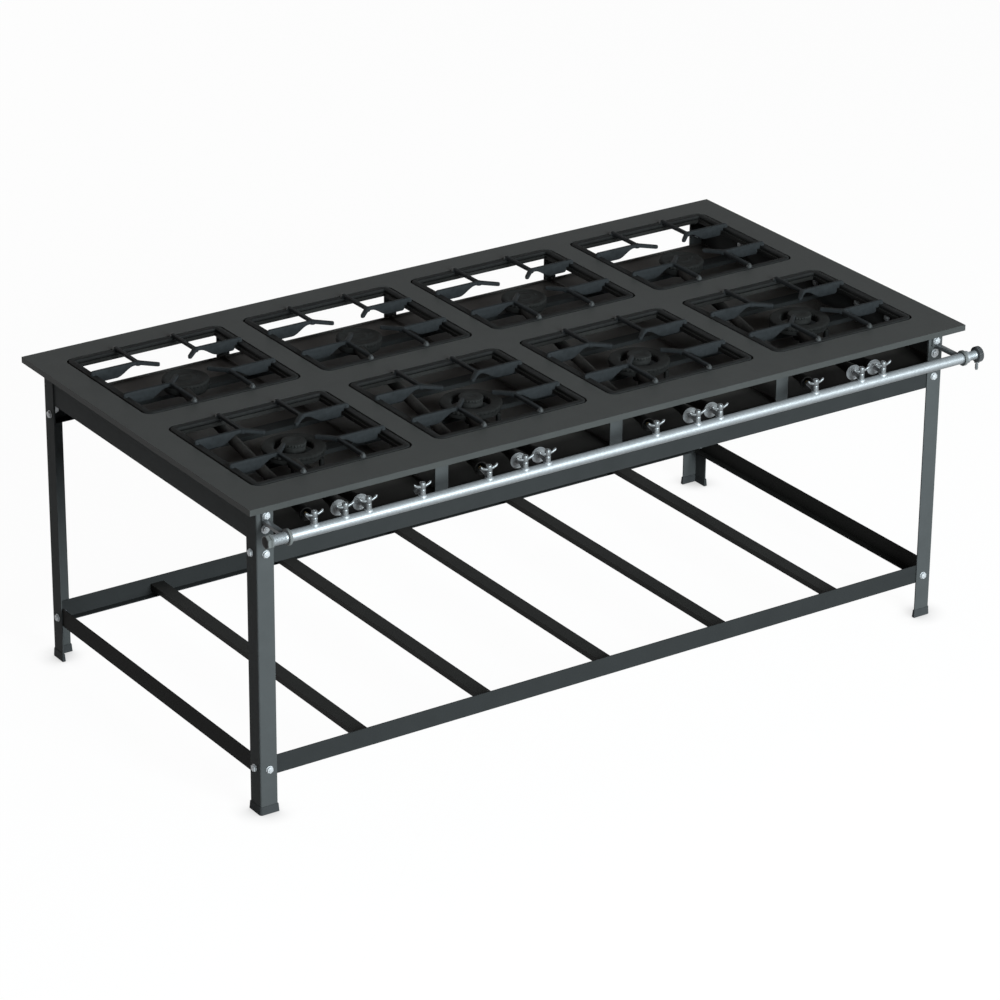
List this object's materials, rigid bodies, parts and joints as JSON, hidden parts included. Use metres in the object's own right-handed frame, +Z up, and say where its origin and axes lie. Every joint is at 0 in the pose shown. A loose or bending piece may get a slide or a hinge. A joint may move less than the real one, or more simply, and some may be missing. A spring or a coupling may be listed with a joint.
{
  "type": "industrial gas stove",
  "caption": "Long free-standing gas stove on a bolted angle frame with a slatted low shelf, lift-off cast grates, ring burners and a front gas pipe with turning valves.",
  "frame": {"origin": "middle of the overall box on the floor, under the feet", "axes": "+X along the front from the capped end of the pipe to the gas inlet, +Y from the front to the back, +Z up"},
  "size_m": [2.066, 1.164, 0.811],
  "materials": {
    "frame_paint": "satin charcoal powder coat",
    "plate_paint": "satin charcoal enamel",
    "rail_paint": "satin dark charcoal",
    "black_sheet": "matt black",
    "shoe_plastic": "matt charcoal",
    "cast_grate": "matt black casting",
    "cast_burner": "matt black casting",
    "silver_paint": "silver paint",
    "plated_valve": "satin plating",
    "zinc_steel": "bright zinc",
    "grey_iron": "galvanised grey",
    "dark_fitting": "dark grey",
    "brass_jet": "turned"
  },
  "bodies": {
    "stove": {"bolts_and_nuts": "zinc_steel", "burner_bars": "rail_paint", "centre_burners": "cast_burner", "drip_trays": "black_sheet", "end_cap": "grey_iron", "foot_shoes": "shoe_plastic", "grate_seats": "black_sheet", "inlet_fitting": "dark_fitting", "inlet_nipple": "plated_valve", "jets": "brass_jet", "leg_back_left": "frame_paint", "leg_back_right": "frame_paint", "leg_front_left": "frame_paint", "leg_front_right": "frame_paint", "lock_ring": "grey_iron", "manifold_pipe": "silver_paint", "pipe_brackets": "frame_paint", "posts": "frame_paint", "rear_burners": "cast_burner", "ring_burners": "cast_burner", "shelf_crossbars": "black_sheet", "shelf_rail_back": "rail_paint", "shelf_rail_front": "rail_paint", "shelf_rail_left": "rail_paint", "shelf_rail_right": "rail_paint", "side_panel_left": "frame_paint", "side_panel_right": "frame_paint", "top_plate": "plate_paint", "upper_rail_back": "rail_paint", "upper_rail_front": "rail_paint", "valve_bodies": "plated_valve"},
    "valve_handle_1": {"valve_handle_1": "plated_valve"},
    "valve_handle_2": {"valve_handle_2": "plated_valve"},
    "valve_handle_3": {"valve_handle_3": "plated_valve"},
    "valve_handle_4": {"valve_handle_4": "plated_valve"},
    "valve_handle_5": {"valve_handle_5": "plated_valve"},
    "valve_handle_6": {"valve_handle_6": "plated_valve"},
    "valve_handle_7": {"valve_handle_7": "plated_valve"},
    "valve_handle_8": {"valve_handle_8": "plated_valve"},
    "valve_handle_9": {"valve_handle_9": "plated_valve"},
    "valve_handle_10": {"valve_handle_10": "plated_valve"},
    "valve_handle_11": {"valve_handle_11": "plated_valve"},
    "valve_handle_12": {"valve_handle_12": "plated_valve"},
    "valve_handle_13": {"valve_handle_13": "plated_valve"},
    "air_shutter_centre_1": {"air_shutter_centre_1": "zinc_steel"},
    "air_shutter_centre_2": {"air_shutter_centre_2": "zinc_steel"},
    "air_shutter_centre_3": {"air_shutter_centre_3": "zinc_steel"},
    "air_shutter_centre_4": {"air_shutter_centre_4": "zinc_steel"},
    "air_shutter_ring_1": {"air_shutter_ring_1": "zinc_steel"},
    "air_shutter_ring_2": {"air_shutter_ring_2": "zinc_steel"},
    "air_shutter_ring_3": {"air_shutter_ring_3": "zinc_steel"},
    "air_shutter_ring_4": {"air_shutter_ring_4": "zinc_steel"},
    "grate_back_1": {"grate_back_1": "cast_grate"},
    "grate_back_2": {"grate_back_2": "cast_grate"},
    "grate_back_3": {"grate_back_3": "cast_grate"},
    "grate_back_4": {"grate_back_4": "cast_grate"},
    "grate_front_1": {"grate_front_1": "cast_grate"},
    "grate_front_2": {"grate_front_2": "cast_grate"},
    "grate_front_3": {"grate_front_3": "cast_grate"},
    "grate_front_4": {"grate_front_4": "cast_grate"}
  },
  "joints": [
    {"name": "valve_handle_1_turn", "type": "hinge", "parent": "stove", "child": "valve_handle_1", "pos_m": [-0.9025, -0.562, 0.778], "axis": [0, 0, 1], "range_deg": [0, 90]},
    {"name": "valve_handle_2_turn", "type": "hinge", "parent": "stove", "child": "valve_handle_2", "pos_m": [-0.8215, -0.562, 0.778], "axis": [0, 0, 1], "range_deg": [0, 90]},
    {"name": "valve_handle_3_turn", "type": "hinge", "parent": "stove", "child": "valve_handle_3", "pos_m": [-0.7595, -0.562, 0.778], "axis": [0, 0, 1], "range_deg": [0, 90]},
    {"name": "valve_handle_4_turn", "type": "hinge", "parent": "stove", "child": "valve_handle_4", "pos_m": [-0.6145, -0.562, 0.778], "axis": [0, 0, 1], "range_deg": [0, 90]},
    {"name": "valve_handle_5_turn", "type": "hinge", "parent": "stove", "child": "valve_handle_5", "pos_m": [-0.4325, -0.562, 0.778], "axis": [0, 0, 1], "range_deg": [0, 90]},
    {"name": "valve_handle_6_turn", "type": "hinge", "parent": "stove", "child": "valve_handle_6", "pos_m": [-0.3325, -0.562, 0.778], "axis": [0, 0, 1], "range_deg": [0, 90]},
    {"name": "valve_handle_7_turn", "type": "hinge", "parent": "stove", "child": "valve_handle_7", "pos_m": [-0.2695, -0.562, 0.778], "axis": [0, 0, 1], "range_deg": [0, 90]},
    {"name": "valve_handle_8_turn", "type": "hinge", "parent": "stove", "child": "valve_handle_8", "pos_m": [0.041, -0.562, 0.778], "axis": [0, 0, 1], "range_deg": [0, 90]},
    {"name": "valve_handle_9_turn", "type": "hinge", "parent": "stove", "child": "valve_handle_9", "pos_m": [0.1615, -0.562, 0.778], "axis": [0, 0, 1], "range_deg": [0, 90]},
    {"name": "valve_handle_10_turn", "type": "hinge", "parent": "stove", "child": "valve_handle_10", "pos_m": [0.227, -0.562, 0.778], "axis": [0, 0, 1], "range_deg": [0, 90]},
    {"name": "valve_handle_11_turn", "type": "hinge", "parent": "stove", "child": "valve_handle_11", "pos_m": [0.514, -0.562, 0.778], "axis": [0, 0, 1], "range_deg": [0, 90]},
    {"name": "valve_handle_12_turn", "type": "hinge", "parent": "stove", "child": "valve_handle_12", "pos_m": [0.6545, -0.562, 0.778], "axis": [0, 0, 1], "range_deg": [0, 90]},
    {"name": "valve_handle_13_turn", "type": "hinge", "parent": "stove", "child": "valve_handle_13", "pos_m": [0.7215, -0.562, 0.778], "axis": [0, 0, 1], "range_deg": [0, 90]},
    {"name": "air_shutter_ring_1_slide", "type": "slide", "parent": "stove", "child": "air_shutter_ring_1", "axis": [0.1733, 0.9849, 0], "range_m": [-0.008, 0.0045]},
    {"name": "air_shutter_centre_1_slide", "type": "slide", "parent": "stove", "child": "air_shutter_centre_1", "axis": [0.0777, 0.997, 0], "range_m": [-0.008, 0.0045]},
    {"name": "air_shutter_ring_2_slide", "type": "slide", "parent": "stove", "child": "air_shutter_ring_2", "axis": [0.1879, 0.9822, 0], "range_m": [-0.008, 0.0045]},
    {"name": "air_shutter_centre_2_slide", "type": "slide", "parent": "stove", "child": "air_shutter_centre_2", "axis": [0.0884, 0.9961, 0], "range_m": [-0.008, 0.0045]},
    {"name": "air_shutter_ring_3_slide", "type": "slide", "parent": "stove", "child": "air_shutter_ring_3", "axis": [0.1879, 0.9822, 0], "range_m": [-0.008, 0.0045]},
    {"name": "air_shutter_centre_3_slide", "type": "slide", "parent": "stove", "child": "air_shutter_centre_3", "axis": [0.0817, 0.9967, 0], "range_m": [-0.008, 0.0045]},
    {"name": "air_shutter_ring_4_slide", "type": "slide", "parent": "stove", "child": "air_shutter_ring_4", "axis": [0.1909, 0.9816, 0], "range_m": [-0.008, 0.0045]},
    {"name": "air_shutter_centre_4_slide", "type": "slide", "parent": "stove", "child": "air_shutter_centre_4", "axis": [0.0804, 0.9968, 0], "range_m": [-0.008, 0.0045]},
    {"name": "grate_back_1_lift", "type": "slide", "parent": "stove", "child": "grate_back_1", "axis": [0, 0, 1], "range_m": [0, 0.15]},
    {"name": "grate_back_2_lift", "type": "slide", "parent": "stove", "child": "grate_back_2", "axis": [0, 0, 1], "range_m": [0, 0.15]},
    {"name": "grate_back_3_lift", "type": "slide", "parent": "stove", "child": "grate_back_3", "axis": [0, 0, 1], "range_m": [0, 0.15]},
    {"name": "grate_back_4_lift", "type": "slide", "parent": "stove", "child": "grate_back_4", "axis": [0, 0, 1], "range_m": [0, 0.15]},
    {"name": "grate_front_1_lift", "type": "slide", "parent": "stove", "child": "grate_front_1", "axis": [0, 0, 1], "range_m": [0, 0.15]},
    {"name": "grate_front_2_lift", "type": "slide", "parent": "stove", "child": "grate_front_2", "axis": [0, 0, 1], "range_m": [0, 0.15]},
    {"name": "grate_front_3_lift", "type": "slide", "parent": "stove", "child": "grate_front_3", "axis": [0, 0, 1], "range_m": [0, 0.15]},
    {"name": "grate_front_4_lift", "type": "slide", "parent": "stove", "child": "grate_front_4", "axis": [0, 0, 1], "range_m": [0, 0.15]}
  ]
}
